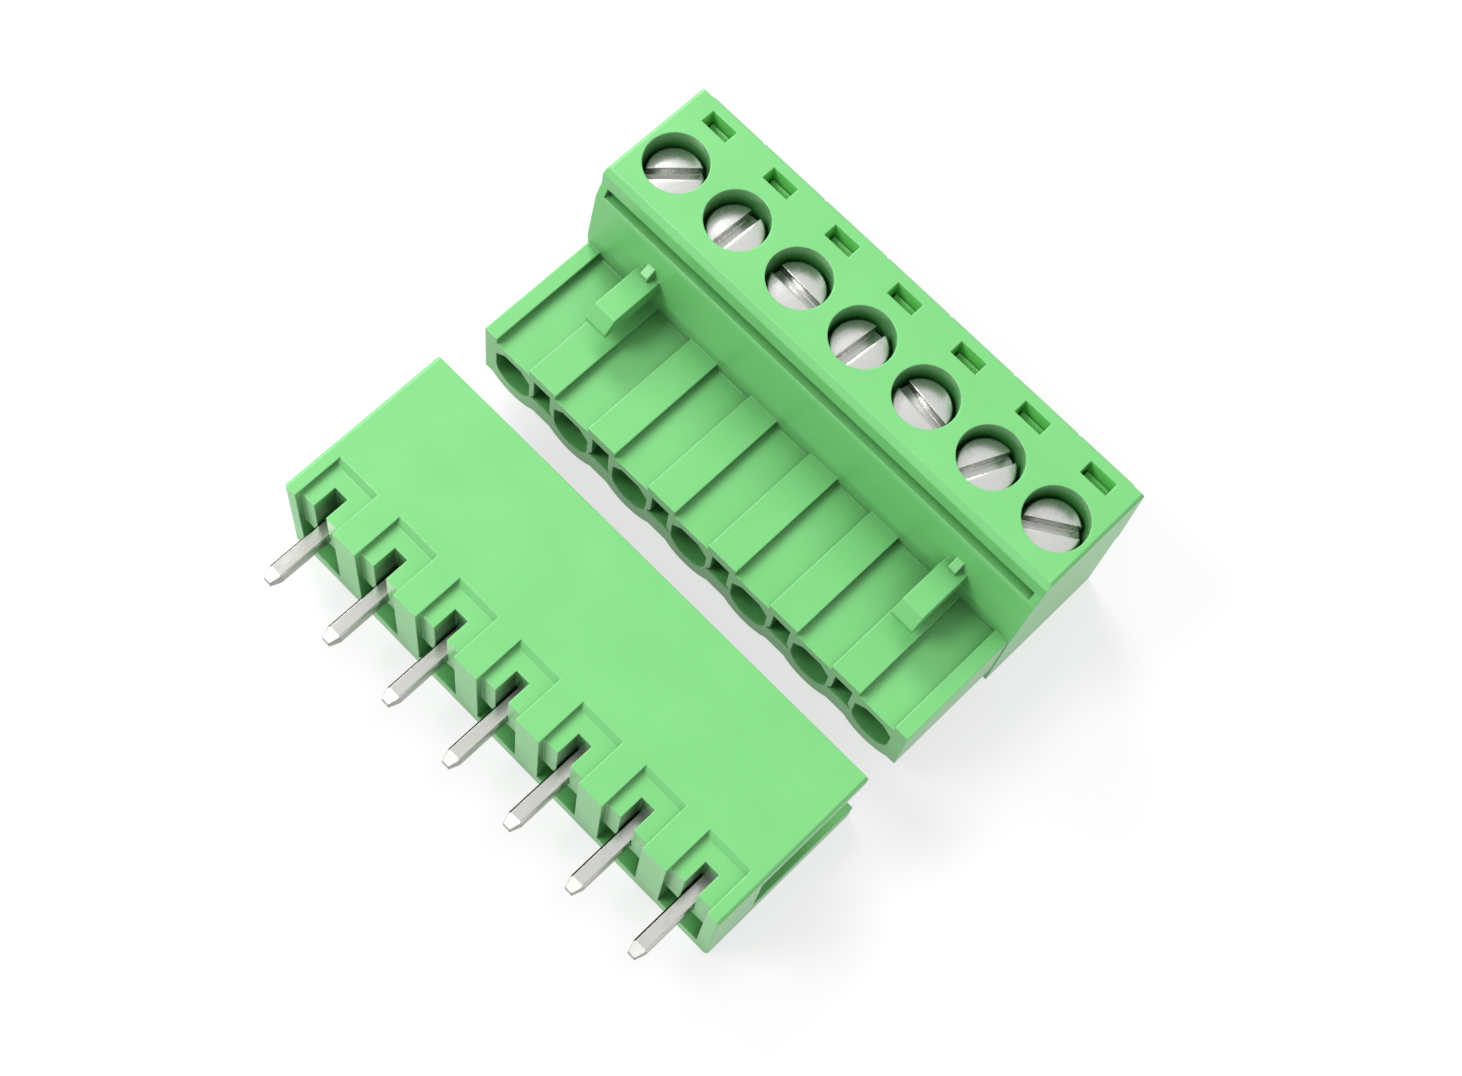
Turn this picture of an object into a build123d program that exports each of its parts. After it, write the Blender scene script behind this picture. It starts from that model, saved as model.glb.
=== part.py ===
from build123d import *
from math import atan, cos, degrees, radians, sin, tan
import os

# A seven-pole pluggable screw terminal block, unplugged: a green plug and, in front of it, the green
# pin header that it plugs into. X runs along the poles, Y from the solder pins to the wire entries,
# Z up. Both halves lie on the plane Z = 0 and the origin is the middle of their footprint.

# Sizes shared by both halves
pitch = 5.08
pole_count = 7
header_gap = 3.65
pin_width = 1.0
pin_z = 4.6

# Pin header
header_depth = 12.0
header_height = 8.57
header_top_wall = 1.12
header_base_depth = 3.6
scallop_wall = 1.15
mouth_lead_in = 0.3
pin_reach = 3.95
pin_cavity_reach = 6.4
pin_tip_length = 0.75
pin_tip_taper = 17
pin_edge_chamfer = 0.1
pocket_width = 3.22
pocket_depth = 0.42
pocket_run = 3.5
pocket_slope = 0.4
pin_notch_width = 1.04
pin_notch_run = 2.1
face_setback = 0.45
under_pin_recess = 1.1
under_pin_bar = 1.1
under_pin_web = 0.4
header_corner_chamfer = 0.15
header_edge_chamfer = 0.18

# Plug, outer form
plug_depth = 18.3
plug_height = 15.0
screw_from_rear = 5.3
top_front_from_screw = 3.48
top_rear_inset = 0.43
tongue_length = 8.6
tongue_inset = 0.13
tongue_web_z = 2.1
lobe_radius = 2.6
lobe_z = 4.0
rib_top_z = 7.3
recess_width = 2.8
recess_depth = 0.6
seam_above_ribs = 0.3
shoulder_z = 12.5
shoulder_out = 0.47
brow_z = 13.5
brow_out = 0.05
wall_foot_z = 8.3
groove_low_z = 12.75
groove_high_z = 13.45
groove_depth = 0.3
groove_end_land = 0.55
rear_foot_z = 8.3
base_rear_step = 0.12
base_end_step = 0.05
pole_line_width = 0.25
pole_line_depth = 0.1
rear_land_width = 0.9
rear_land_depth = 0.12
top_front_chamfer = 0.41
edge_chamfer = 0.18

# Plug, mating face
opening_width = 2.9
opening_low_z = 2.5
opening_high_z = 6.0
opening_shoulder_z = 5.3
opening_peak_width = 1.4
coding_slot_width = 1.4
coding_slot_foot = 2.0
coding_slot_low_z = 3.7
coding_slot_high_z = 6.35
coding_slot_depth = 5.0

# Latch fingers
finger_width = 1.65
finger_reach = 4.3
finger_thickness = 1.3
finger_lift = 0.13
finger_bevel_run = 0.75
finger_bevel_drop = 0.9
stub_width = 0.6
stub_run = 0.8
stub_height = 0.9

# Screws and their wells
screw_diameter = 2.9
head_diameter = 3.56
head_height = 1.5
head_sunk = 1.3
head_chamfer = 0.14
slot_width = 0.72
slot_depth = 0.75
slot_angles = [48, 88, -2, 85, -7, 66, 34]
well_diameter = 4.05
shank_hole_diameter = 3.1
head_ledge = 0.55

# Rising clamps
clamp_width = 3.84
clamp_side_wall = 0.4
clamp_floor = 0.8
clamp_roof = 1.6
clamp_depth = 3.6
clamp_gap = 2.85
clamp_edge = 0.25
clamp_bar_clearance = 0.1
thread_clearance = 0.05

# Contacts
bar_z = 6.6
bar_thickness = 0.8
bar_width = 2.4
bar_seat = 0.65
leg_height = 3.8
arm_height = 1.8
arm_thickness = 0.4
arm_length = 8.9
arm_root_run = 2.2
arm_root_x = 0.95
arm_mouth_x = 1.05
arm_mouth_run = 2.5
pin_clearance = 0.05

# Chambers and wire entries
chamber_width = 4.0
chamber_floor_z = 2.85
chamber_front_from_screw = 3.1
chamber_rear_from_screw = 2.3
wire_hole_width = 3.0
wire_hole_height = 2.5
wire_hole_z = 5.0
wire_hole_corner = 0.5
funnel_flare = 0.55
funnel_run = 1.4

# Snap hooks and the windows that show them
window_width = 1.98
window_run = 1.0
window_from_screw = 3.08
window_step = 0.3
window_step_z = 12.4
hook_width = 1.7
hook_clearance = 0.06
hook_top_z = 13.8
hook_slope = 0.55

# Places that follow from the sizes above
length = pitch * pole_count
pole_x = [(k - (pole_count - 1) / 2) * pitch for k in range(pole_count)]
rib_x = [x + pitch / 2 for x in pole_x[:-1]]
overall_depth = pin_reach + header_depth + header_gap + plug_depth
pin_tip_y = -overall_depth / 2
pin_face_y = pin_tip_y + pin_reach
base_front_y = pin_face_y + header_base_depth
mouth_y = pin_face_y + header_depth
nose_y = mouth_y + header_gap
wall_y = nose_y + tongue_length
rear_y = nose_y + plug_depth
screw_y = rear_y - screw_from_rear
top_front_y = screw_y - top_front_from_screw
chamber_front_y = screw_y - chamber_front_from_screw
chamber_rear_y = screw_y + chamber_rear_from_screw
window_y = screw_y + window_from_screw
cavity_top_z = header_height - header_top_wall
seam_z = rib_top_z + seam_above_ribs
bar_top_z = bar_z + bar_thickness
head_seat_z = plug_height - head_sunk - head_height
chamber_roof_z = head_seat_z - head_ledge
finger_z = header_height + finger_lift
finger_x = [rib_x[0], rib_x[-1]]


def upright(y):
    """The XZ plane at a given Y: sketches hold X and Z, and extrusions run towards the pins."""
    return Plane.XZ.offset(-y)


os.makedirs("parts", exist_ok=True)

# Header housing: a thick base round the pins and two walls that leave both ends open
with BuildPart() as header_housing:
    ridge_z = scallop_wall + lobe_radius - (lobe_z - tongue_web_z)
    with BuildSketch(Plane.YZ):
        with BuildLine():
            Polyline(
                (pin_face_y, 0),
                (mouth_y, 0),
                (mouth_y, ridge_z),
                (base_front_y, ridge_z),
                (base_front_y, cavity_top_z),
                (mouth_y - mouth_lead_in, cavity_top_z),
                (mouth_y, cavity_top_z + mouth_lead_in),
                (mouth_y, header_height),
                (pin_face_y, header_height),
                close=True,
            )
        make_face()
    extrude(amount=length / 2, both=True)
    corners = header_housing.edges().filter_by(Axis.Z).group_by(Axis.Y)[0]
    chamfer(corners, header_corner_chamfer)
    top_ends = header_housing.edges().filter_by(Axis.Y).group_by(Axis.Z)[-1]
    chamfer(top_ends, header_edge_chamfer)

    # Round scallops in the lower wall take the lobes of the plug's tongue
    scallop_radius = lobe_z - scallop_wall
    with BuildSketch(upright(mouth_y)):
        for x in pole_x:
            with Locations((x, lobe_z)):
                Circle(scallop_radius)
        Rectangle(length * 2, header_height, align=(Align.CENTER, Align.MIN), mode=Mode.INTERSECT)
    extrude(amount=header_depth - header_base_depth, mode=Mode.SUBTRACT)

    # A shallow sloped pocket over each pin, on the smooth wall
    for x in pole_x:
        with BuildSketch(Plane.YZ.offset(x - pocket_width / 2)):
            with BuildLine():
                Polyline(
                    (pin_face_y - face_setback, header_height - pocket_depth),
                    (pin_face_y + pocket_run - pocket_slope, header_height - pocket_depth),
                    (pin_face_y + pocket_run, header_height),
                    (pin_face_y - face_setback, header_height),
                    close=True,
                )
            make_face()
        extrude(amount=pocket_width, mode=Mode.SUBTRACT)

    # The face beside each pin is set back
    with BuildSketch(upright(pin_face_y + face_setback)):
        for x in pole_x:
            with Locations((x, header_height)):
                Rectangle(pocket_width, header_height - under_pin_bar, align=(Align.CENTER, Align.MAX))
    extrude(amount=face_setback, mode=Mode.SUBTRACT)

    # Pin holes, the open notch above each pin and the recess below it
    with BuildSketch(upright(base_front_y)):
        for x in pole_x:
            with Locations((x, pin_z)):
                Rectangle(pin_width, pin_width)
    extrude(amount=header_base_depth, mode=Mode.SUBTRACT)
    with BuildSketch(upright(pin_face_y + pin_notch_run)):
        for x in pole_x:
            with Locations((x, pin_z)):
                Rectangle(pin_notch_width, header_height - pin_z, align=(Align.CENTER, Align.MIN))
    extrude(amount=pin_notch_run, mode=Mode.SUBTRACT)
    with BuildSketch(upright(pin_face_y + under_pin_recess)):
        for x in pole_x:
            with Locations((x, under_pin_bar)):
                recess_height = pin_z - pin_width / 2 - under_pin_web - under_pin_bar
                Rectangle(pocket_width, recess_height, align=(Align.CENTER, Align.MIN))
    extrude(amount=under_pin_recess, mode=Mode.SUBTRACT)
header_housing.part.label = "header_housing"
export_step(header_housing.part, "parts/header_housing.step")

# Header pins: square wire with rolled edges and both tips tapered
tip_back_y = base_front_y + pin_cavity_reach
tip_half = pin_width / 2 - pin_tip_length * tan(radians(pin_tip_taper))
half_widths = [
    (pin_tip_y, tip_half),
    (pin_tip_y + pin_tip_length, pin_width / 2),
    (tip_back_y - pin_tip_length, pin_width / 2),
    (tip_back_y, tip_half),
]
for number, x in enumerate(pole_x, start=1):
    with BuildPart() as header_pin:
        with BuildSketch(upright(tip_back_y)) as rolled_section:
            with Locations((x, pin_z)):
                Rectangle(pin_width, pin_width)
            chamfer(rolled_section.vertices(), pin_edge_chamfer)
        extrude(amount=tip_back_y - pin_tip_y)
        upper_line = [(y, pin_z + half) for y, half in half_widths]
        lower_line = [(y, pin_z - half) for y, half in reversed(half_widths)]
        with BuildSketch(Plane.YZ.offset(x)):
            with BuildLine():
                Polyline(*upper_line, *lower_line, close=True)
            make_face()
        extrude(amount=pin_width, both=True, mode=Mode.INTERSECT)
        right_line = [(x + half, y) for y, half in half_widths]
        left_line = [(x - half, y) for y, half in reversed(half_widths)]
        with BuildSketch(Plane.XY.offset(pin_z)):
            with BuildLine():
                Polyline(*right_line, *left_line, close=True)
            make_face()
        extrude(amount=pin_width, both=True, mode=Mode.INTERSECT)
    header_pin.part.label = f"header_pin_{number}"
    export_step(header_pin.part, f"parts/header_pin_{number}.step")

# Plug base: the tongue that enters the header and the chambers for contacts, clamps and wires
with BuildPart() as plug_base:
    with BuildSketch(Plane.YZ):
        with BuildLine():
            Polyline(
                (wall_y, 0),
                (rear_y - base_rear_step, 0),
                (rear_y - base_rear_step, seam_z),
                (wall_y, seam_z),
                close=True,
            )
        make_face()
    extrude(amount=length / 2 - base_end_step, both=True)
    tongue_width = length - 2 * tongue_inset
    with BuildSketch(upright(wall_y)):
        with Locations((0, tongue_web_z)):
            Rectangle(tongue_width, rib_top_z - tongue_web_z, align=(Align.CENTER, Align.MIN))
        for x in pole_x:
            with Locations((x, lobe_z)):
                Circle(lobe_radius)
        Rectangle(tongue_width, plug_height, align=(Align.CENTER, Align.MIN), mode=Mode.INTERSECT)
    extrude(amount=tongue_length)

    # Flat recesses between the ribs of the tongue
    with BuildSketch(upright(wall_y)):
        for x in pole_x:
            with Locations((x, rib_top_z)):
                Rectangle(recess_width, 2 * recess_depth)
    extrude(amount=tongue_length, mode=Mode.SUBTRACT)

    # Contact openings: round below, with a low peak above
    with BuildSketch(upright(chamber_front_y)):
        for x in pole_x:
            with BuildLine():
                Polyline(
                    (x - opening_width / 2, opening_low_z + opening_width / 2),
                    (x - opening_width / 2, opening_shoulder_z),
                    (x - opening_peak_width / 2, opening_high_z),
                    (x + opening_peak_width / 2, opening_high_z),
                    (x + opening_width / 2, opening_shoulder_z),
                    (x + opening_width / 2, opening_low_z + opening_width / 2),
                )
                ThreePointArc(
                    (x + opening_width / 2, opening_low_z + opening_width / 2),
                    (x, opening_low_z),
                    (x - opening_width / 2, opening_low_z + opening_width / 2),
                )
            make_face()
    extrude(amount=chamber_front_y - nose_y, mode=Mode.SUBTRACT)

    # Coding slots under the ribs, flared at the foot
    with BuildSketch(upright(nose_y + coding_slot_depth)):
        for x in rib_x:
            slot_neck_z = coding_slot_low_z + (coding_slot_foot - coding_slot_width)
            with BuildLine():
                Polyline(
                    (x - coding_slot_width / 2, coding_slot_high_z),
                    (x + coding_slot_width / 2, coding_slot_high_z),
                    (x + coding_slot_width / 2, slot_neck_z),
                    (x + coding_slot_foot / 2, coding_slot_low_z),
                    (x - coding_slot_foot / 2, coding_slot_low_z),
                    (x - coding_slot_width / 2, slot_neck_z),
                    close=True,
                )
            make_face()
    extrude(amount=coding_slot_depth, mode=Mode.SUBTRACT)

    # Clamp chambers, with a seat for the rear end of each contact bar
    with BuildSketch(Plane.XY.offset(seam_z)):
        for x in pole_x:
            with Locations((x, chamber_front_y)):
                Rectangle(chamber_width, chamber_rear_y - chamber_front_y, align=(Align.CENTER, Align.MIN))
    extrude(amount=chamber_floor_z - seam_z, mode=Mode.SUBTRACT)
    with BuildSketch(Plane.XY.offset(seam_z)):
        for x in pole_x:
            with Locations((x, chamber_rear_y)):
                Rectangle(bar_width, bar_seat, align=(Align.CENTER, Align.MIN))
    extrude(amount=bar_z - seam_z, mode=Mode.SUBTRACT)

    # Wire entries: a straight hole with a funnel that flares towards the rear
    plug_back_y = rear_y - base_rear_step
    with BuildSketch(upright(plug_back_y)):
        for x in pole_x:
            with Locations((x, wire_hole_z)):
                RectangleRounded(wire_hole_width, wire_hole_height, wire_hole_corner)
    extrude(amount=plug_back_y - chamber_rear_y, mode=Mode.SUBTRACT)
    funnel_taper = degrees(atan(funnel_flare / funnel_run))
    for x in pole_x:
        with BuildSketch(upright(plug_back_y)):
            with Locations((x, wire_hole_z)):
                Rectangle(wire_hole_width + 2 * funnel_flare, wire_hole_height + 2 * funnel_flare)
        extrude(amount=funnel_run, taper=funnel_taper, mode=Mode.SUBTRACT)

    # Fine lines between the poles at the rear
    with BuildSketch(upright(plug_back_y)):
        for x in rib_x:
            with Locations((x, 0)):
                Rectangle(pole_line_width, seam_z, align=(Align.CENTER, Align.MIN))
    extrude(amount=pole_line_depth, mode=Mode.SUBTRACT)

    # Snap hooks that hold the cap, sloped on top
    for x in pole_x:
        with BuildSketch(Plane.YZ.offset(x - hook_width / 2)):
            hook_back_y = window_y + window_run - hook_clearance
            stem_y = window_y + window_step + hook_clearance
            barb_y = window_y + hook_clearance
            with BuildLine():
                Polyline(
                    (hook_back_y, seam_z),
                    (hook_back_y, hook_top_z),
                    (barb_y, hook_top_z - hook_slope),
                    (barb_y, window_step_z + hook_clearance),
                    (stem_y, window_step_z + hook_clearance),
                    (stem_y, seam_z),
                    close=True,
                )
            make_face()
        extrude(amount=hook_width)
plug_base.part.label = "plug_base"
export_step(plug_base.part, "parts/plug_base.step")

# Plug cap: the tall screw housing that snaps down over the base, with the two latch fingers
with BuildPart() as plug_cap:
    with BuildSketch(Plane.YZ):
        with BuildLine():
            Polyline(
                (wall_y, seam_z),
                (wall_y, wall_foot_z),
                (top_front_y - shoulder_out, shoulder_z),
                (top_front_y - brow_out, brow_z),
                (top_front_y, plug_height - top_front_chamfer),
                (top_front_y + top_front_chamfer, plug_height),
                (rear_y - top_rear_inset - edge_chamfer, plug_height),
                (rear_y - top_rear_inset, plug_height - edge_chamfer),
                (rear_y, rear_foot_z),
                (rear_y, seam_z),
                close=True,
            )
        make_face()
    extrude(amount=length / 2, both=True)
    top_ends = plug_cap.edges().filter_by(Axis.Y).group_by(Axis.Z)[-1]
    chamfer(top_ends, edge_chamfer)

    # The groove under the top front edge stops short of both ends
    with BuildSketch(Plane.YZ):
        with BuildLine():
            Polyline(
                (top_front_y - shoulder_out, groove_low_z),
                (top_front_y + groove_depth, groove_low_z),
                (top_front_y + groove_depth, groove_high_z),
                (top_front_y - shoulder_out, groove_high_z),
                close=True,
            )
        make_face()
    extrude(amount=length / 2 - groove_end_land, both=True, mode=Mode.SUBTRACT)

    # Clamp chambers, shank holes and screw wells
    with BuildSketch(Plane.XY.offset(seam_z)):
        for x in pole_x:
            with Locations((x, screw_y)):
                Rectangle(chamber_width, 2 * chamber_rear_from_screw)
    extrude(amount=chamber_roof_z - seam_z, mode=Mode.SUBTRACT)
    with BuildSketch(Plane.XY.offset(chamber_roof_z)):
        for x in pole_x:
            with Locations((x, screw_y)):
                Circle(shank_hole_diameter / 2)
    extrude(amount=head_ledge, mode=Mode.SUBTRACT)
    with BuildSketch(Plane.XY.offset(head_seat_z)):
        for x in pole_x:
            with Locations((x, screw_y)):
                Circle(well_diameter / 2)
    extrude(amount=plug_height - head_seat_z, mode=Mode.SUBTRACT)

    # Windows over the snap hooks, with the step that the hooks catch on
    with BuildSketch(Plane.XY.offset(plug_height)):
        for x in pole_x:
            with Locations((x, window_y)):
                Rectangle(window_width, window_run, align=(Align.CENTER, Align.MIN))
    extrude(amount=window_step_z - plug_height, mode=Mode.SUBTRACT)
    with BuildSketch(Plane.XY.offset(window_step_z)):
        for x in pole_x:
            with Locations((x, window_y + window_step)):
                Rectangle(window_width, window_run - window_step, align=(Align.CENTER, Align.MIN))
    extrude(amount=seam_z - window_step_z, mode=Mode.SUBTRACT)

    # Fine lines between the poles at the rear, and the lower lands at both ends
    land_x = (length - rear_land_width) / 2
    rear_cuts = [(x, pole_line_width, pole_line_depth) for x in rib_x]
    rear_cuts += [(x, rear_land_width, rear_land_depth) for x in (-land_x, land_x)]
    for x, cut_width, cut_depth in rear_cuts:
        with BuildSketch(Plane.YZ.offset(x - cut_width / 2)):
            with BuildLine():
                Polyline(
                    (rear_y - top_rear_inset - cut_depth, plug_height),
                    (rear_y - cut_depth, rear_foot_z),
                    (rear_y - cut_depth, seam_z),
                    (rear_y, seam_z),
                    (rear_y, plug_height),
                    close=True,
                )
            make_face()
        extrude(amount=cut_width, mode=Mode.SUBTRACT)

    # Latch fingers over the outermost ribs, each with a small stub at its root
    for x in finger_x:
        finger_tip_y = wall_y - finger_reach
        finger_top_z = finger_z + finger_thickness
        with BuildSketch(Plane.YZ.offset(x - finger_width / 2)):
            with BuildLine():
                Polyline(
                    (screw_y - chamber_rear_from_screw, finger_z),
                    (finger_tip_y, finger_z),
                    (finger_tip_y, finger_top_z - finger_bevel_drop),
                    (finger_tip_y + finger_bevel_run, finger_top_z),
                    (screw_y - chamber_rear_from_screw, finger_top_z),
                    close=True,
                )
            make_face()
        extrude(amount=finger_width)
        with BuildSketch(Plane.YZ.offset(x - stub_width / 2)):
            with BuildLine():
                Polyline(
                    (wall_y - stub_run / 2, finger_top_z),
                    (wall_y - stub_run / 2, finger_top_z + stub_height / 2),
                    (wall_y + stub_run / 2, finger_top_z + stub_height),
                    (wall_y + stub_run / 2, finger_top_z),
                    close=True,
                )
            make_face()
        extrude(amount=stub_width)
plug_cap.part.label = "plug_cap"
export_step(plug_cap.part, "parts/plug_cap.step")

# Contacts: a bar under the screw, a leg down to the tongue and two spring arms that grip the pin
for number, x in enumerate(pole_x, start=1):
    with BuildPart() as contact:
        with BuildSketch(Plane.YZ.offset(x - bar_width / 2)):
            with BuildLine():
                Polyline(
                    (chamber_rear_y + bar_seat, bar_z),
                    (chamber_rear_y + bar_seat, bar_top_z),
                    (chamber_front_y, bar_top_z),
                    (chamber_front_y, bar_top_z - leg_height),
                    (chamber_front_y + bar_thickness, bar_top_z - leg_height),
                    (chamber_front_y + bar_thickness, bar_z),
                    close=True,
                )
            make_face()
        extrude(amount=bar_width)
        bend = contact.edges().filter_by(Axis.X).group_by(Axis.Y)[0].sort_by(Axis.Z)[-1]
        fillet(bend, bar_thickness)

        grip_x = (pin_width + arm_thickness) / 2 + pin_clearance
        with BuildSketch(Plane.XY.offset(pin_z - arm_height / 2)):
            for side in (-1, 1):
                with BuildLine():
                    Polyline(
                        (x + side * arm_root_x, chamber_front_y + bar_thickness / 2),
                        (x + side * arm_root_x, chamber_front_y - arm_root_run),
                        (x + side * grip_x, chamber_front_y - arm_length + arm_mouth_run),
                        (x + side * arm_mouth_x, chamber_front_y - arm_length),
                    )
                trace(line_width=arm_thickness)
        extrude(amount=arm_height)
    contact.part.label = f"contact_{number}"
    export_step(contact.part, f"parts/contact_{number}.step")

# Clamps: open cages that rise towards the contact bar as the screws turn in
for number, x in enumerate(pole_x, start=1):
    with BuildPart() as clamp:
        cage_floor_z = bar_z - clamp_gap - clamp_floor
        cage_roof_z = bar_top_z + clamp_bar_clearance
        cage_height = cage_roof_z + clamp_roof - cage_floor_z
        with BuildSketch(upright(screw_y)):
            with Locations((x, cage_floor_z)):
                Rectangle(clamp_width, cage_height, align=(Align.CENTER, Align.MIN))
            with Locations((x, bar_z - clamp_gap)):
                Rectangle(
                    clamp_width - 2 * clamp_side_wall,
                    cage_roof_z - bar_z + clamp_gap,
                    align=(Align.CENTER, Align.MIN),
                    mode=Mode.SUBTRACT,
                )
        extrude(amount=clamp_depth / 2, both=True)
        outer = clamp.edges().filter_by(Axis.Y)
        chamfer(outer.group_by(Axis.Z)[0] + outer.group_by(Axis.Z)[-1], clamp_edge)
        with BuildSketch(Plane.XY.offset(cage_roof_z)):
            with Locations((x, screw_y)):
                Circle(screw_diameter / 2 + thread_clearance)
        extrude(amount=clamp_roof, mode=Mode.SUBTRACT)
    clamp.part.label = f"clamp_{number}"
    export_step(clamp.part, f"parts/clamp_{number}.step")

# Screws: slotted cylinder heads in the wells, with their shanks down to the contact bars
for number, (x, angle) in enumerate(zip(pole_x, slot_angles), start=1):
    with BuildPart() as screw:
        with BuildSketch(Plane.XY.offset(head_seat_z)):
            with Locations((x, screw_y)):
                Circle(head_diameter / 2)
        extrude(amount=head_height)
        chamfer(screw.edges().group_by(Axis.Z)[-1], head_chamfer)
        with BuildSketch(Plane.XY.offset(head_seat_z)):
            with Locations((x, screw_y)):
                Circle(screw_diameter / 2)
        extrude(amount=bar_top_z - head_seat_z)
        slot_direction = (cos(radians(angle)), sin(radians(angle)), 0)
        slot_plane = Plane((x, screw_y, head_seat_z + head_height), x_dir=slot_direction, z_dir=(0, 0, 1))
        with BuildSketch(slot_plane):
            Rectangle(2 * head_diameter, slot_width)
        extrude(amount=-slot_depth, mode=Mode.SUBTRACT)
    screw.part.label = f"screw_{number}"
    export_step(screw.part, f"parts/screw_{number}.step")
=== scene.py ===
import math

import bpy
from mathutils import Matrix, Vector


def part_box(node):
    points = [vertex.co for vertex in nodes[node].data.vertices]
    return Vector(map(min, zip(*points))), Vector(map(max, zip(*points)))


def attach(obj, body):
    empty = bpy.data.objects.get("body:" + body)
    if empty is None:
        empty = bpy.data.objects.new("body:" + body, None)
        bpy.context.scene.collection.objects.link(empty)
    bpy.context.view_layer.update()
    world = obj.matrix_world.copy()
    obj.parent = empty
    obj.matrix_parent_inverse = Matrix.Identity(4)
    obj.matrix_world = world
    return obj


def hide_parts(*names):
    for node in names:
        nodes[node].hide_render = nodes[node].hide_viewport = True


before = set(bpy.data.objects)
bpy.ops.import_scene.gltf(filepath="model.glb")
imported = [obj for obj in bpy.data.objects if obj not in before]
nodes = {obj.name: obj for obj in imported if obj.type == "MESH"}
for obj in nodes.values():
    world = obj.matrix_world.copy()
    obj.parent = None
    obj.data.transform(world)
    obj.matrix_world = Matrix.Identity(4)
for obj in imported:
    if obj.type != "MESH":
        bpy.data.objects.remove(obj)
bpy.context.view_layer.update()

mm = 0.001
poles = [str(k) for k in range(1, 8)]
up = Vector((0, 0, 1))
print("frame loaded:", len(nodes), "nodes")


def deselectAll():
    if bpy.context.mode != "OBJECT":
        bpy.ops.object.mode_set(mode="OBJECT")
    bpy.ops.object.select_all(action="DESELECT")


def newest(name):
    made = bpy.context.object
    made.name = name
    made.data.name = name
    return made


def pickFaces(piece, way, share=0.9):
    # selects the faces that look this way, and stays in edit mode
    bpy.ops.object.mode_set(mode="EDIT")
    bpy.ops.mesh.select_mode(type="FACE")
    bpy.ops.mesh.select_all(action="DESELECT")
    bpy.ops.object.mode_set(mode="OBJECT")
    for face in piece.data.polygons:
        face.select = face.normal.dot(way) > share
    bpy.ops.object.mode_set(mode="EDIT")


def useModifier(piece, kind, **settings):
    bpy.context.view_layer.objects.active = piece
    modifier = piece.modifiers.new(kind.lower(), kind)
    for key, value in settings.items():
        setattr(modifier, key, value)
    bpy.ops.object.modifier_apply(modifier=modifier.name)


def settle(piece):
    # the place goes into the mesh, so the object stands at the origin
    deselectAll()
    piece.select_set(True)
    bpy.context.view_layer.objects.active = piece
    bpy.ops.object.transform_apply(location=True, rotation=True, scale=True)


class Wire:
    # a shader socket that can stand in sums; each operator adds one Math node
    def __init__(self, sheet, socket):
        self.sheet = sheet
        self.socket = socket

    def __add__(self, other):
        return self.sheet.sum("ADD", self, other)

    def __radd__(self, other):
        return self.sheet.sum("ADD", other, self)

    def __sub__(self, other):
        return self.sheet.sum("SUBTRACT", self, other)

    def __rsub__(self, other):
        return self.sheet.sum("SUBTRACT", other, self)

    def __mul__(self, other):
        return self.sheet.sum("MULTIPLY", self, other)

    def __rmul__(self, other):
        return self.sheet.sum("MULTIPLY", other, self)

    def __truediv__(self, other):
        return self.sheet.sum("DIVIDE", self, other)

    def __rtruediv__(self, other):
        return self.sheet.sum("DIVIDE", other, self)

    def __pow__(self, other):
        return self.sheet.sum("POWER", self, other)

    def __rpow__(self, other):
        return self.sheet.sum("POWER", other, self)


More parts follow.
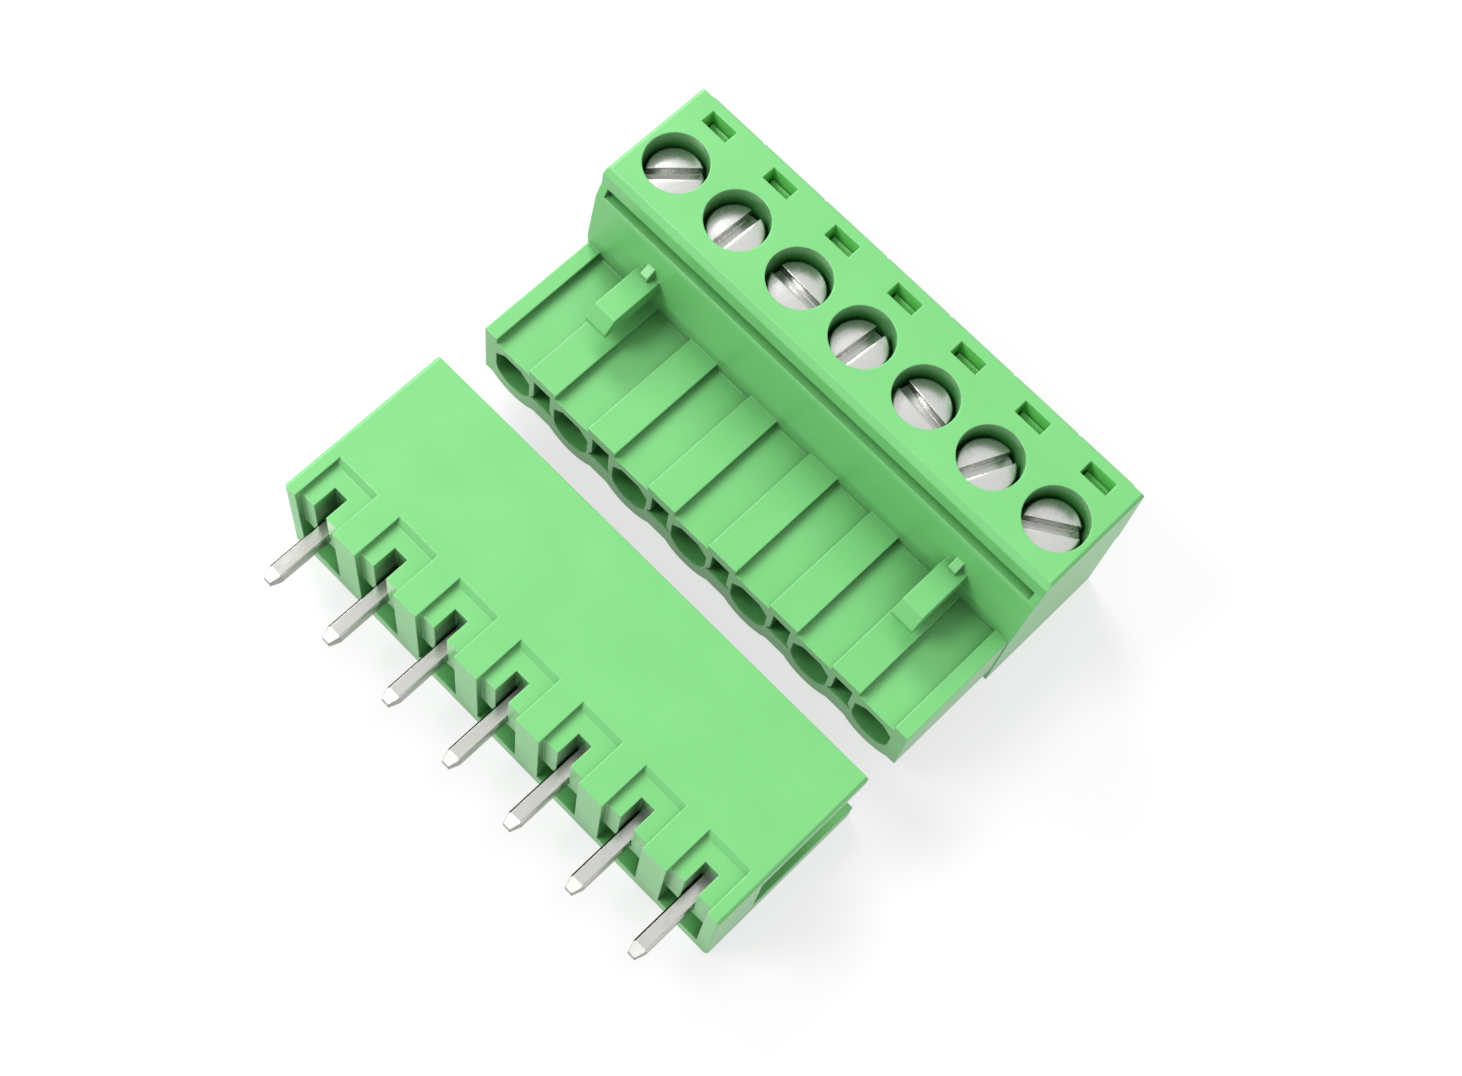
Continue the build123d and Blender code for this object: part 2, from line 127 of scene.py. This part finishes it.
class Sheet:
    # one material's node tree, ending in a Principled shader
    def __init__(self, name, fixed):
        self.material = bpy.data.materials.new(name)
        self.material.use_nodes = True
        self.tree = self.material.node_tree
        self.shader = self.tree.nodes["Principled BSDF"]
        for key, value in fixed.items():
            self.shader.inputs[key].default_value = value

    def node(self, kind, settings, values, out=0):
        made = self.tree.nodes.new("ShaderNode" + kind)
        for key, value in settings.items():
            setattr(made, key, value)
        for key, value in values.items():
            if isinstance(value, Wire):
                self.tree.links.new(value.socket, made.inputs[key])
            else:
                made.inputs[key].default_value = value
        return Wire(self, made.outputs[out])

    def sum(self, operation, first, second):
        return self.node("Math", {"operation": operation}, {0: first, 1: second})

    def clamp(self, value):
        return self.node("Clamp", {}, {"Value": value})

    def blend(self, factor, first, second):
        first, second = [c if isinstance(c, Wire) else (*c, 1.0) for c in (first, second)]
        values = {0: factor, 6: first, 7: second}
        return self.node("Mix", {"data_type": "RGBA"}, values, out=2)

    def place(self):
        # the places of the CAD frame, which stay with a body when it moves
        return self.node("TexCoord", {}, {}, out="Object")

    def axes(self, vector):
        return [self.node("SeparateXYZ", {}, {"Vector": vector}, out=axis) for axis in "XYZ"]

    def stretched(self, place, scale):
        return self.node("Mapping", {"vector_type": "POINT"}, {"Vector": place, "Scale": scale})

    def noise(self, place, size, detail=2.0, roughness=0.5):
        # size is the width of one blotch, in metres
        values = {"Vector": place, "Scale": 1 / size, "Detail": detail, "Roughness": roughness}
        return self.node("TexNoise", {}, values)

    def flat(self):
        return self.node("NewGeometry", {}, {}, out="True Normal")

    def rounded(self, radius, samples=6):
        # the normal as if every edge had this radius
        return self.node("Bevel", {"samples": samples}, {"Radius": radius})

    def lean(self, rounded, flat):
        # how far the rounded normal turns from the flat one, which shows where the edges are
        values = {0: rounded, 1: flat}
        return 1 - self.node("VectorMath", {"operation": "DOT_PRODUCT"}, values, out="Value")

    def relief(self, height, look, rounded):
        values = {"Strength": look["reliefStrength"], "Distance": look["reliefHeight"],
                  "Height": height, "Normal": rounded}
        return self.node("Bump", {}, values)

    def finish(self, colour, roughness, normal=None):
        ends = {"Base Color": colour, "Roughness": roughness, "Normal": normal}
        for key, wire in ends.items():
            if wire is not None:
                self.tree.links.new(wire.socket, self.shader.inputs[key])
        return self.material


nylon = {
    "fixed": {"IOR": 1.53, "Specular IOR Level": 0.45},
    "colour": (0.121, 0.396, 0.125),
    "deep": (0.112, 0.377, 0.116),       # where the pigment lies a little thicker
    "cloud": 4.5 * mm,
    "flow": 2.7 * mm,                    # drawn-out blotches from the moulding
    "flowStretch": (0.35, 1.0, 1.6),
    "flowShare": 0.4,
    "cloudStart": 0.38,
    "cloudGain": 3.2,

    "edge": (0.215, 0.51, 0.222),        # painted highlight on rounded edges
    "edgeRadius": 0.12 * mm,
    "edgeGain": 5.0,
    "edgeShare": 0.55,

    "paintedNookShade": (0.02, 0.12, 0.022),         # painted shade in narrow places, darker the less daylight reaches them
    "nookReach": 4.5 * mm,
    "nookSamples": 4,
    "nookStart": 0.54,                   # share of daylight under which a place darkens
    "nookGain": 3.0,

    "paintedWindowLight": (0.15, 0.60, 0.13),          # painted light in the shaded insides of the windows, as if it came through their thin walls
    "thinStart": 0.8,
    "thinGain": 3.0,
    "thinRelief": 2.5,                   # taken from nookGain inside the windows
    "windowFront": 16.5 * mm,            # the row of windows lies between these two in Y
    "windowRear": 17.95 * mm,
    "windowFoot": 11.5 * mm,             # and above this in Z
    "windowFade": 0.2 * mm,

    "grain": 0.09 * mm,
    "grainRoughness": 0.6,
    "reliefHeight": 0.0016 * mm,
    "reliefStrength": 0.35,
    "roughness": 0.34,
    "roughnessFrom": {"cloud": 0.12, "grain": 0.08, "edge": -0.12},
}


def makeNylon():
    sheet = Sheet("green_nylon", nylon["fixed"])
    place = sheet.place()
    cloud = sheet.noise(place, nylon["cloud"], detail=3.0)
    flow = sheet.noise(sheet.stretched(place, nylon["flowStretch"]), nylon["flow"])
    grain = sheet.noise(place, nylon["grain"], roughness=nylon["grainRoughness"])
    rounded = sheet.rounded(nylon["edgeRadius"])
    edge = sheet.clamp(sheet.lean(rounded, sheet.flat()) * nylon["edgeGain"])

    blotches = cloud * (1 - nylon["flowShare"]) + flow * nylon["flowShare"]
    pigment = sheet.clamp((blotches - nylon["cloudStart"]) * nylon["cloudGain"])
    colour = sheet.blend(pigment, nylon["deep"], nylon["colour"])
    # painted highlight: the edges are blended towards a lighter green
    colour = sheet.blend(edge * nylon["edgeShare"], colour, nylon["edge"])

    daylight = sheet.node("AmbientOcclusion", {"samples": nylon["nookSamples"]},
                          {"Distance": nylon["nookReach"]}, out="AO")
    x, y, z = sheet.axes(place)
    window = (sheet.clamp((y - nylon["windowFront"]) / nylon["windowFade"])
              * sheet.clamp((nylon["windowRear"] - y) / nylon["windowFade"])
              * sheet.clamp((z - nylon["windowFoot"]) / nylon["windowFade"]))
    # painted light: inside the windows, the less daylight a place gets, the brighter green it
    # is made
    paintedWindowLight = sheet.clamp((nylon["thinStart"] - daylight) * nylon["thinGain"])
    colour = sheet.blend(window * paintedWindowLight, colour, nylon["paintedWindowLight"])
    # painted shade: places that see little of the sky are darkened towards a deep green
    nookGain = nylon["nookGain"] - window * nylon["thinRelief"]
    paintedNookShade = sheet.clamp((nylon["nookStart"] - daylight) * nookGain)
    colour = sheet.blend(paintedNookShade, colour, nylon["paintedNookShade"])

    part = nylon["roughnessFrom"]
    roughness = sheet.clamp(nylon["roughness"] + (cloud - 0.5) * part["cloud"]
                            + (grain - 0.5) * part["grain"] + edge * part["edge"])
    return sheet.finish(colour, roughness, sheet.relief(grain, nylon, rounded))


pinTin = {
    "colour": (0.62, 0.615, 0.59),
    "dull": (0.48, 0.475, 0.44),
    "stain": 0.7 * mm,
    "stainStretch": (1.0, 0.45, 1.0),
    "stainStart": 0.47,
    "stainGain": 3.0,
    "line": 0.055 * mm,                  # width of a drawing line along the pin
    "lineStretch": (1.0, 0.04, 1.0),
    "lineGain": 0.8,
    "speck": 0.05 * mm,

    "sheared": (0.36, 0.37, 0.32),       # the two sides that the stamping tool cut
    "shearedGain": 3.0,
    "shearedStart": 1.6,
    "coined": (0.42, 0.425, 0.40),       # the pressed faces of the tip
    "coinedGain": 8.0,
    "paintedEdgeShade": (0.035, 0.036, 0.03),        # painted shade: dark lines along the edges
    "seamGain": 18.0,
    "edgeShadeLean": 4.0,                   # less of it on the two edges whose normals lean to +X and up, and to -X and down
    "edgeRadius": 0.06 * mm,

    "reliefHeight": 0.003 * mm,
    "reliefStrength": 0.5,
    "reliefFrom": {"line": 0.7, "speck": 0.3},
    "roughness": 0.2,
    "roughnessFrom": {"dull": 0.18, "side": 0.15, "tip": 0.3, "speck": 0.15},
}


def makePinTin():
    sheet = Sheet("tinned_wire", {"Metallic": 1.0})
    place = sheet.place()
    line = sheet.noise(sheet.stretched(place, pinTin["lineStretch"]), pinTin["line"])
    stain = sheet.noise(sheet.stretched(place, pinTin["stainStretch"]), pinTin["stain"],
                        detail=4.0, roughness=0.6)
    speck = sheet.noise(place, pinTin["speck"], detail=1.0)
    rounded = sheet.rounded(pinTin["edgeRadius"])
    flat = sheet.flat()
    nx, ny, nz = sheet.axes(flat)

    dull = sheet.clamp((stain - pinTin["stainStart"]) * pinTin["stainGain"]
                       + (line - 0.5) * pinTin["lineGain"])
    side = sheet.clamp(nx * nx * pinTin["shearedGain"] - pinTin["shearedStart"])
    tip = sheet.clamp(ny * -pinTin["coinedGain"])
    # painted shade: dark lines along the pin's edges, lighter on the edges that lean up and to
    # +X
    paintedEdgeShade = sheet.clamp(sheet.lean(rounded, flat) * pinTin["seamGain"]
                       - nx * nz * pinTin["edgeShadeLean"])
    colour = sheet.blend(dull, pinTin["colour"], pinTin["dull"])
    colour = sheet.blend(side, colour, pinTin["sheared"])
    colour = sheet.blend(tip, colour, pinTin["coined"])
    colour = sheet.blend(paintedEdgeShade, colour, pinTin["paintedEdgeShade"])

    part = pinTin["roughnessFrom"]
    roughness = sheet.clamp(pinTin["roughness"] + dull * part["dull"] + side * part["side"]
                            + tip * part["tip"] + (speck - 0.5) * part["speck"])
    height = line * pinTin["reliefFrom"]["line"] + speck * pinTin["reliefFrom"]["speck"]
    return sheet.finish(colour, roughness, sheet.relief(height, pinTin, rounded))


nickel = {
    "colour": (0.62, 0.625, 0.605),
    "worn": (0.53, 0.53, 0.505),
    "scuff": 0.32 * mm,
    "scuffStretch": (1.0, 1.0, 0.3),
    "scuffStart": 0.52,
    "scuffGain": 4.0,
    "slot": (0.53, 0.54, 0.51),          # painted shade: darker nickel down in the slot and on the shank
    "slotShadeFade": 0.5 * mm,
    "slotShadeStart": 0.4,                    # in fades under the top of the head

    "ring": 0.085 * mm,                  # spacing of the turning rings on a head
    "wobble": 0.5 * mm,
    "wobbleShare": 0.6,
    "pitch": 5.08 * mm,
    "screwLine": 13.65 * mm,             # Y of the row of screws
    "edgeRadius": 0.05 * mm,

    "reliefHeight": 0.0015 * mm,
    "reliefStrength": 0.35,
    "reliefRings": 0.4,
    "roughness": 0.27,
    "roughnessFrom": {"worn": 0.14, "rings": 0.02},
}


def makeNickel():
    sheet = Sheet("turned_nickel", {"Metallic": 1.0})
    place = sheet.place()
    x, y, z = sheet.axes(place)
    half = nickel["pitch"] / 2
    x = sheet.node("Math", {"operation": "WRAP"}, {0: x, 1: half, 2: -half})
    y = y - nickel["screwLine"]
    radius = (x * x + y * y) ** 0.5
    wobble = sheet.noise(place, nickel["wobble"])
    turns = radius / nickel["ring"] + wobble * nickel["wobbleShare"]
    rings = sheet.node("Math", {"operation": "SINE"}, {0: turns * 2 * math.pi})
    scuff = sheet.noise(sheet.stretched(place, nickel["scuffStretch"]), nickel["scuff"],
                        detail=5.0, roughness=0.65)
    rounded = sheet.rounded(nickel["edgeRadius"])

    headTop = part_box("screw_1")[1].z
    worn = sheet.clamp((scuff - nickel["scuffStart"]) * nickel["scuffGain"])
    # painted shade: darker with depth under the top of the head
    depth = sheet.clamp((headTop - z) / nickel["slotShadeFade"] - nickel["slotShadeStart"])
    colour = sheet.blend(worn, nickel["colour"], nickel["worn"])
    colour = sheet.blend(depth, colour, nickel["slot"])
    part = nickel["roughnessFrom"]
    roughness = sheet.clamp(nickel["roughness"] + worn * part["worn"] + rings * part["rings"])
    height = rings * nickel["reliefRings"] + scuff
    return sheet.finish(colour, roughness, sheet.relief(height, nickel, rounded))


contactTin = {
    "colour": (0.68, 0.665, 0.62),
    "worn": (0.60, 0.55, 0.47),
    "patch": 0.8 * mm,
    "roughness": 0.3,
}

cageNickel = {
    "colour": (0.70, 0.68, 0.62),
    "worn": (0.61, 0.565, 0.46),
    "patch": 1.1 * mm,
    "roughness": 0.34,
}

# what the stamped and plated metals inside share
plated = {
    "patchStart": 0.45,
    "patchGain": 3.0,
    "markShare": 0.25,                   # width of a blanking mark against a patch
    "markStretch": (1.0, 1.0, 0.15),
    "edgeRadius": 0.04 * mm,
    "reliefHeight": 0.002 * mm,
    "reliefStrength": 0.4,
    "roughnessFrom": {"patch": 0.12, "marks": 0.1},
}


def makePlated(name, metal):
    sheet = Sheet(name, {"Metallic": 1.0})
    place = sheet.place()
    marks = sheet.noise(sheet.stretched(place, plated["markStretch"]),
                        metal["patch"] * plated["markShare"], detail=3.0)
    patch = sheet.noise(place, metal["patch"], detail=3.0)
    rounded = sheet.rounded(plated["edgeRadius"], samples=4)

    mask = sheet.clamp((patch - plated["patchStart"]) * plated["patchGain"])
    colour = sheet.blend(mask, metal["colour"], metal["worn"])
    part = plated["roughnessFrom"]
    roughness = sheet.clamp(metal["roughness"] + mask * part["patch"]
                            + (marks - 0.5) * part["marks"])
    return sheet.finish(colour, roughness, sheet.relief(marks, plated, rounded))


green = makeNylon()
tin = makePinTin()
turned = makeNickel()
strip = makePlated("tinned_bronze_strip", contactTin)
cage = makePlated("nickelled_brass_cage", cageNickel)

finishes = {"header_housing": green, "plug_base": green, "plug_cap": green}
for k in poles:
    finishes["header_pin_" + k] = tin
    finishes["contact_" + k] = strip
    finishes["clamp_" + k] = cage
    finishes["screw_" + k] = turned
for name, finish in finishes.items():
    for slot in nodes[name].material_slots:
        slot.material = finish
print("materials made:", len(set(finishes.values())))


screw = {
    "headHeight": 1.5 * mm,
    "headSides": 72,
    "rimChamfer": 0.12 * mm,
    "slotWidth": 0.72 * mm,
    "slotDepth": 0.75 * mm,
    "edgeRound": 0.06 * mm,
    "edgeAngle": 40,                     # sharper edges than this are rounded
    "coreDiameter": 2.42 * mm,
    "coreSides": 32,
    "coreSink": 0.05 * mm,               # how far the shank goes into the head
    "tipChamfer": 0.14 * mm,
    "neck": 0.55 * mm,                   # plain part under the head
    "plainTip": 0.5 * mm,                # left out at the tip when the turns are counted
    "threadPitch": 0.5 * mm,
    "threadStart": 0.28 * mm,            # height of the first tooth over the tip
    "threadSteps": 24,
    "toothDepth": 0.2352 * mm,
    "toothHalf": 0.22 * mm,              # half of a tooth's height at its root
    "smoothAngle": 35,
    "slotAngles": [48, 88, -2, 85, -7, 66, 34],
}


def makeScrewHead(headRadius, seat, top):
    deselectAll()
    bpy.ops.mesh.primitive_cylinder_add(vertices=screw["headSides"], radius=headRadius,
                                        depth=top - seat, location=(0, 0, (top + seat) / 2))
    head = newest("screwHead")
    pickFaces(head, up)
    bpy.ops.mesh.bevel(offset=screw["rimChamfer"], segments=3, affect="EDGES")
    deselectAll()

    overhang = 1 * mm                    # the cutter stands this far over the head
    depth = screw["slotDepth"]
    size = (3 * headRadius, screw["slotWidth"], depth + overhang)
    bpy.ops.mesh.primitive_cube_add(size=1, location=(0, 0, top - depth / 2 + overhang / 2),
                                    scale=size)
    cutter = newest("slotCutter")
    useModifier(head, "BOOLEAN", operation="DIFFERENCE", object=cutter, solver="EXACT")
    bpy.data.objects.remove(cutter)
    useModifier(head, "BEVEL", width=screw["edgeRound"], segments=2, limit_method="ANGLE",
                angle_limit=math.radians(screw["edgeAngle"]))
    return head


def makeScrewCore(coreRadius, bottom, seat):
    top = seat + screw["coreSink"]
    deselectAll()
    bpy.ops.mesh.primitive_cylinder_add(vertices=screw["coreSides"], radius=coreRadius,
                                        depth=top - bottom, location=(0, 0, (top + bottom) / 2))
    core = newest("screwCore")
    pickFaces(core, -up)
    bpy.ops.mesh.bevel(offset=screw["tipChamfer"], segments=2, affect="EDGES")
    deselectAll()
    return core


def makeScrewThread(coreRadius, bottom, seat):
    # a four-sided tooth is swept up the shank, then both ends are closed
    pitch = screw["threadPitch"]
    turns = int((seat - screw["neck"] - bottom - screw["plainTip"]) / pitch)
    deselectAll()
    bpy.ops.mesh.primitive_circle_add(
        vertices=4, radius=1, location=(coreRadius, 0, bottom + screw["threadStart"]),
        rotation=(math.pi / 2, 0, 0))
    thread = newest("screwThread")
    thread.scale = (screw["toothDepth"], screw["toothHalf"], 1)
    settle(thread)
    useModifier(thread, "SCREW", axis="Z", angle=2 * math.pi, screw_offset=pitch,
                iterations=turns, steps=screw["threadSteps"],
                render_steps=screw["threadSteps"], use_merge_vertices=False)
    bpy.ops.object.mode_set(mode="EDIT")
    bpy.ops.mesh.select_all(action="SELECT")
    bpy.ops.mesh.fill_holes(sides=4)
    bpy.ops.mesh.normals_make_consistent(inside=False)
    deselectAll()
    return thread


def makeScrew(low, high):
    # modelled standing at the origin of X and Y, at its real height
    seat = high.z - screw["headHeight"]
    coreRadius = screw["coreDiameter"] / 2
    head = makeScrewHead((high.x - low.x) / 2, seat, high.z)
    core = makeScrewCore(coreRadius, low.z, seat)
    thread = makeScrewThread(coreRadius, low.z, seat)
    deselectAll()
    for part in (head, core, thread):
        part.select_set(True)
    bpy.context.view_layer.objects.active = head
    bpy.ops.object.join()
    settle(head)
    bpy.ops.object.shade_smooth_by_angle(angle=math.radians(screw["smoothAngle"]))
    head.data.materials.clear()
    head.data.materials.append(turned)
    return head


pattern = makeScrew(*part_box("screw_1"))
for k, angle in zip(poles, screw["slotAngles"]):
    low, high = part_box("screw_" + k)
    place = Matrix.Translation(((low.x + high.x) / 2, (low.y + high.y) / 2, 0))
    copy = pattern.copy()
    copy.data = pattern.data.copy()
    bpy.context.scene.collection.objects.link(copy)
    copy.name = "screw_turned_" + k
    copy.data.transform(place @ Matrix.Rotation(math.radians(angle), 4, "Z"))
    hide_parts("screw_" + k)
    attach(copy, "screw_" + k)
bpy.data.objects.remove(pattern)
print("screws made:", len(poles))


floor = {
    "size": 900 * mm,
    "colour": (0.21, 0.21, 0.21),
    "toneChange": 0.995,
    "toneSize": 60 * mm,
    "roughness": 0.8,
    "roughnessChange": 0.02,
    "glow": 0.68,                        # the paper is lit through, so shadows stay pale
}


def makeFloor():
    deselectAll()
    bpy.ops.mesh.primitive_plane_add(size=floor["size"], location=(0, 0, 0))
    paper = newest("studio_floor")
    sheet = Sheet("studio_paper", {
        "Specular IOR Level": 0.1,
        "Emission Color": (1.0, 1.0, 1.0, 1.0),
        "Emission Strength": floor["glow"],
    })
    tone = sheet.noise(sheet.place(), floor["toneSize"], detail=1.0)
    other = [c * floor["toneChange"] for c in floor["colour"]]
    colour = sheet.blend(tone, floor["colour"], other)
    roughness = tone * floor["roughnessChange"] + floor["roughness"]
    paper.data.materials.append(sheet.finish(colour, roughness))


light = {
    "sky": 1.0,
    "lamps": {                           # place, width, power
        "key_light": ((-380 * mm, 170 * mm, 360 * mm), 240 * mm, 2.2),
        "front_light": ((-260 * mm, -260 * mm, 430 * mm), 240 * mm, 2.3),
    },
}


def makeLight():
    world = bpy.data.worlds.new("studio_world")
    world.use_nodes = True
    sky = world.node_tree.nodes["Background"]
    sky.inputs["Color"].default_value = (1.0, 1.0, 1.0, 1.0)
    sky.inputs["Strength"].default_value = light["sky"]
    bpy.context.scene.world = world
    for name, (place, width, power) in light["lamps"].items():
        disk = bpy.data.lights.new(name, "AREA")
        disk.shape = "DISK"
        disk.size = width
        disk.energy = power
        lamp = bpy.data.objects.new(name, disk)
        bpy.context.scene.collection.objects.link(lamp)
        lamp.location = place
        lamp.rotation_euler = (-Vector(place)).to_track_quat("-Z", "Y").to_euler()


camera = {
    "place": (28.217 * mm, -41.244 * mm, 138.903 * mm),
    "target": (1.712 * mm, 2.38 * mm, 6.0 * mm),
    "roll": 14.61,
    "lens": 59.17,
    "sensor": 36,
    "nearest": 10 * mm,
}


def makeCamera():
    scene = bpy.context.scene
    lens = bpy.data.cameras.new("photo_camera")
    lens.lens = camera["lens"]
    lens.sensor_width = camera["sensor"]
    lens.clip_start = camera["nearest"]
    eye = bpy.data.objects.new("photo_camera", lens)
    scene.collection.objects.link(eye)
    forward = Vector(camera["target"]) - Vector(camera["place"])
    level = forward.to_track_quat("-Z", "Y").to_matrix().to_4x4()
    roll = Matrix.Rotation(math.radians(camera["roll"]), 4, "Z")
    eye.matrix_world = Matrix.Translation(camera["place"]) @ level @ roll
    scene.camera = eye
    scene.view_settings.view_transform = "Standard"
    scene.view_settings.look = "None"


makeFloor()
makeLight()
makeCamera()
print("studio made")
